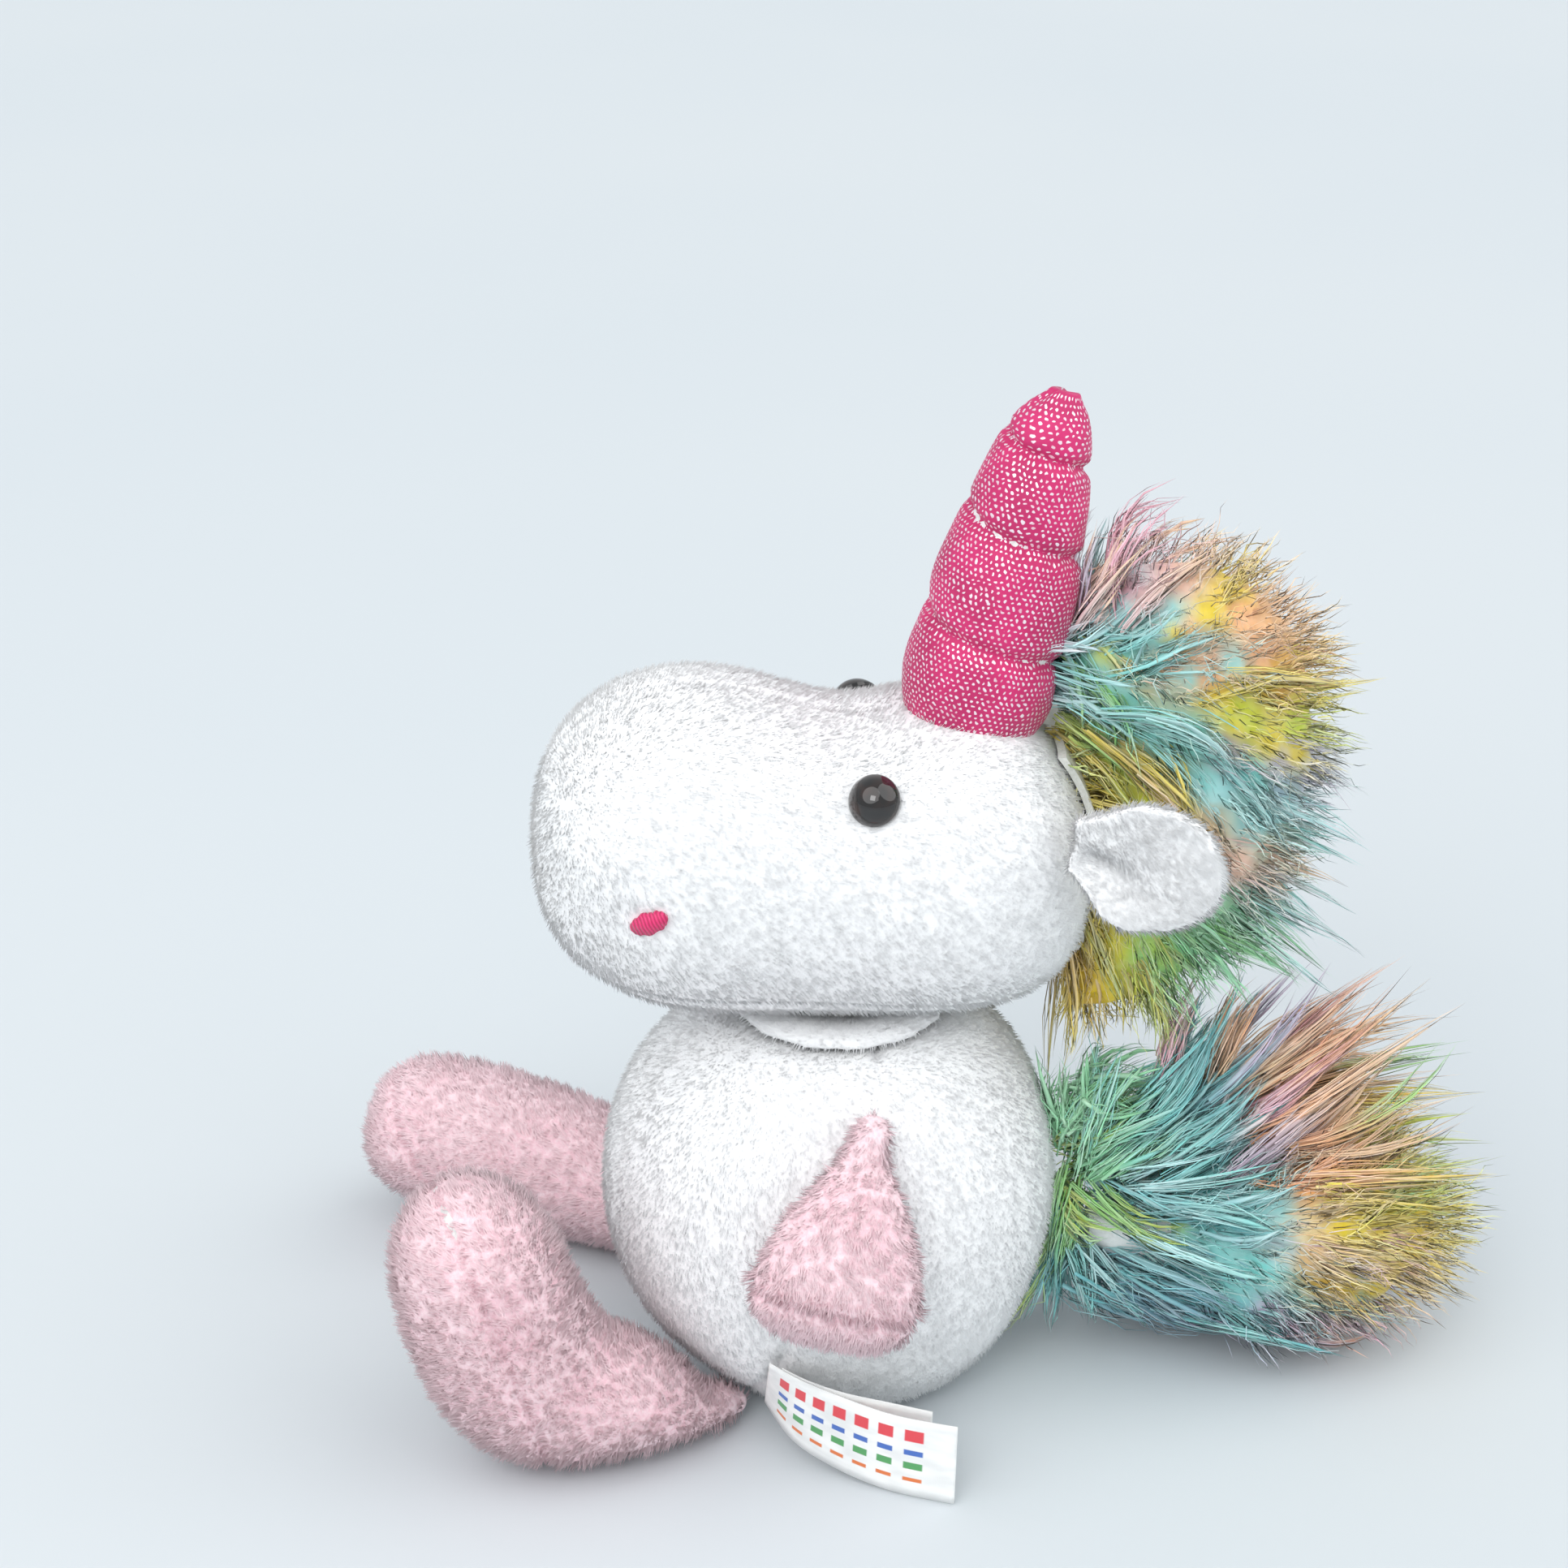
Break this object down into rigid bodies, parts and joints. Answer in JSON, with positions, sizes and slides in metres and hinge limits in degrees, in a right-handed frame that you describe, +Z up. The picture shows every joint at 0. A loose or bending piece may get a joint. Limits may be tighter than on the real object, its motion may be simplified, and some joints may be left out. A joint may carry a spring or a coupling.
{
  "type": "plush unicorn",
  "caption": "Sitting plush unicorn with a stuffed foil-dotted horn, long tie-dyed mane and tail, soft pink arms and legs, safety eyes and a sewn label.",
  "frame": {"origin": "middle of the flat seat under the torso, on the surface that the toy sits on", "axes": "+Z up; the unicorn faces -Y; its own left side is +X"},
  "size_m": [0.1322, 0.2362, 0.207],
  "materials": {
    "white_plush": "short white plush, matt",
    "pink_plush": "long pale pink plush, matt",
    "white_stuffing": "polyester fibre filling",
    "foil_fabric": "bright pink cloth with small silvery foil dots",
    "mane_strip_cloth": "knitted backing of the long pile",
    "rainbow_pile": "long tie-dyed pile in aqua, yellow, green, pink and lilac",
    "black_eye": "polished dark plastic",
    "clear_washer": "natural white plastic",
    "pink_thread": "satin stitch embroidery",
    "label_satin": "white satin ribbon with a plain printed pattern"
  },
  "bodies": {
    "torso": {"torso_cover": "white_plush", "torso_stuffing": "white_stuffing"},
    "neck_core": {"neck_stuffing": "white_stuffing"},
    "neck_collar": {"neck_gusset": "white_plush"},
    "head": {"head_cover": "white_plush", "head_stuffing": "white_stuffing", "eye_left": "black_eye", "eye_right": "black_eye", "eye_washer_left": "clear_washer", "eye_washer_right": "clear_washer", "nostril_left": "pink_thread", "nostril_right": "pink_thread", "mane_strip": "mane_strip_cloth", "mane_pile": "rainbow_pile"},
    "horn": {"horn_cover": "foil_fabric", "horn_stuffing": "white_stuffing"},
    "ear_left": {"ear_left_back": "white_plush", "ear_left_front": "white_plush"},
    "ear_right": {"ear_right_back": "white_plush", "ear_right_front": "white_plush"},
    "tail_root": {"tail_tab": "white_plush"},
    "tail": {"tail_pile": "rainbow_pile", "tail_core_cover": "mane_strip_cloth", "tail_core_stuffing": "white_stuffing"},
    "label": {"label_front_leaf": "label_satin", "label_back_leaf": "label_satin"},
    "shoulder_left": {"shoulder_left_tab": "white_plush"},
    "arm_left": {"arm_left_cover": "pink_plush", "arm_left_hoof": "pink_plush", "arm_left_stuffing": "white_stuffing"},
    "hip_left": {"hip_left_tab": "pink_plush"},
    "leg_left": {"leg_left_cover": "pink_plush", "leg_left_sole": "pink_plush", "leg_left_stuffing": "white_stuffing"},
    "shoulder_right": {"shoulder_right_tab": "white_plush"},
    "arm_right": {"arm_right_cover": "pink_plush", "arm_right_hoof": "pink_plush", "arm_right_stuffing": "white_stuffing"},
    "hip_right": {"hip_right_tab": "pink_plush"},
    "leg_right": {"leg_right_cover": "pink_plush", "leg_right_sole": "pink_plush", "leg_right_stuffing": "white_stuffing"}
  },
  "joints": [
    {"name": "head_turn", "type": "hinge", "parent": "torso", "child": "neck_core", "pos_m": [0, 0, 0.0824], "axis": [0, 0, 1], "range_deg": [-25, 25], "stiffness_Nm_per_rad": 0.04},
    {"name": "head_tilt", "type": "hinge", "parent": "neck_core", "child": "neck_collar", "pos_m": [0, 0, 0.0824], "axis": [0, 1, 0], "range_deg": [-7, 7], "stiffness_Nm_per_rad": 0.08},
    {"name": "head_nod", "type": "hinge", "parent": "neck_collar", "child": "head", "pos_m": [0, 0, 0.0824], "axis": [1, 0, 0], "range_deg": [-8, 6], "stiffness_Nm_per_rad": 0.12},
    {"name": "horn_wobble", "type": "hinge", "parent": "head", "child": "horn", "pos_m": [0, 0.0254, 0.1482], "axis": [1, 0, 0], "range_deg": [-6, 6], "stiffness_Nm_per_rad": 0.02},
    {"name": "ear_left_flap", "type": "hinge", "parent": "head", "child": "ear_left", "pos_m": [0.027, 0.0408, 0.1283], "axis": [-0.0448, -0.0794, -0.9958], "range_deg": [-8, 45], "stiffness_Nm_per_rad": 0.0006},
    {"name": "ear_right_flap", "type": "hinge", "parent": "head", "child": "ear_right", "pos_m": [-0.027, 0.0408, 0.1283], "axis": [-0.0448, 0.0794, 0.9958], "range_deg": [-8, 45], "stiffness_Nm_per_rad": 0.0006},
    {"name": "arm_left_swing", "type": "hinge", "parent": "torso", "child": "shoulder_left", "pos_m": [0.038, 0.0035, 0.074], "axis": [0.9781, 0, 0.2079], "range_deg": [-75, 55]},
    {"name": "arm_left_lift", "type": "hinge", "parent": "shoulder_left", "child": "arm_left", "pos_m": [0.038, 0.0035, 0.074], "axis": [-0.0538, -0.9659, 0.2532], "range_deg": [0, 70]},
    {"name": "arm_right_swing", "type": "hinge", "parent": "torso", "child": "shoulder_right", "pos_m": [-0.038, 0.0035, 0.074], "axis": [0.9781, 0, -0.2079], "range_deg": [-75, 55]},
    {"name": "arm_right_lift", "type": "hinge", "parent": "shoulder_right", "child": "arm_right", "pos_m": [-0.038, 0.0035, 0.074], "axis": [-0.0538, 0.9659, -0.2532], "range_deg": [0, 70]},
    {"name": "leg_left_splay", "type": "hinge", "parent": "torso", "child": "hip_left", "pos_m": [0.0254, -0.0224, 0.0046], "axis": [0, 0, 1], "range_deg": [-6, 30]},
    {"name": "leg_left_raise", "type": "hinge", "parent": "hip_left", "child": "leg_left", "pos_m": [0.0254, -0.0224, 0.0046], "axis": [-1, 0, 0], "range_deg": [0, 6]},
    {"name": "leg_right_splay", "type": "hinge", "parent": "torso", "child": "hip_right", "pos_m": [-0.0254, -0.0224, 0.0046], "axis": [0, 0, -1], "range_deg": [-14, 18]},
    {"name": "leg_right_raise", "type": "hinge", "parent": "hip_right", "child": "leg_right", "pos_m": [-0.0254, -0.0224, 0.0046], "axis": [-0.8192, 0.5736, 0], "range_deg": [0, 6]},
    {"name": "tail_swing", "type": "hinge", "parent": "torso", "child": "tail_root", "pos_m": [0, 0.0462, 0.0282], "axis": [0, 0, 1], "range_deg": [-20, 20]},
    {"name": "tail_lift", "type": "hinge", "parent": "tail_root", "child": "tail", "pos_m": [0, 0.0462, 0.0282], "axis": [1, 0, 0], "range_deg": [0, 12]},
    {"name": "label_flap", "type": "hinge", "parent": "torso", "child": "label", "pos_m": [0.0375, -0.0152, 0.0175], "axis": [0, 0, 1], "range_deg": [-22, 3]}
  ]
}
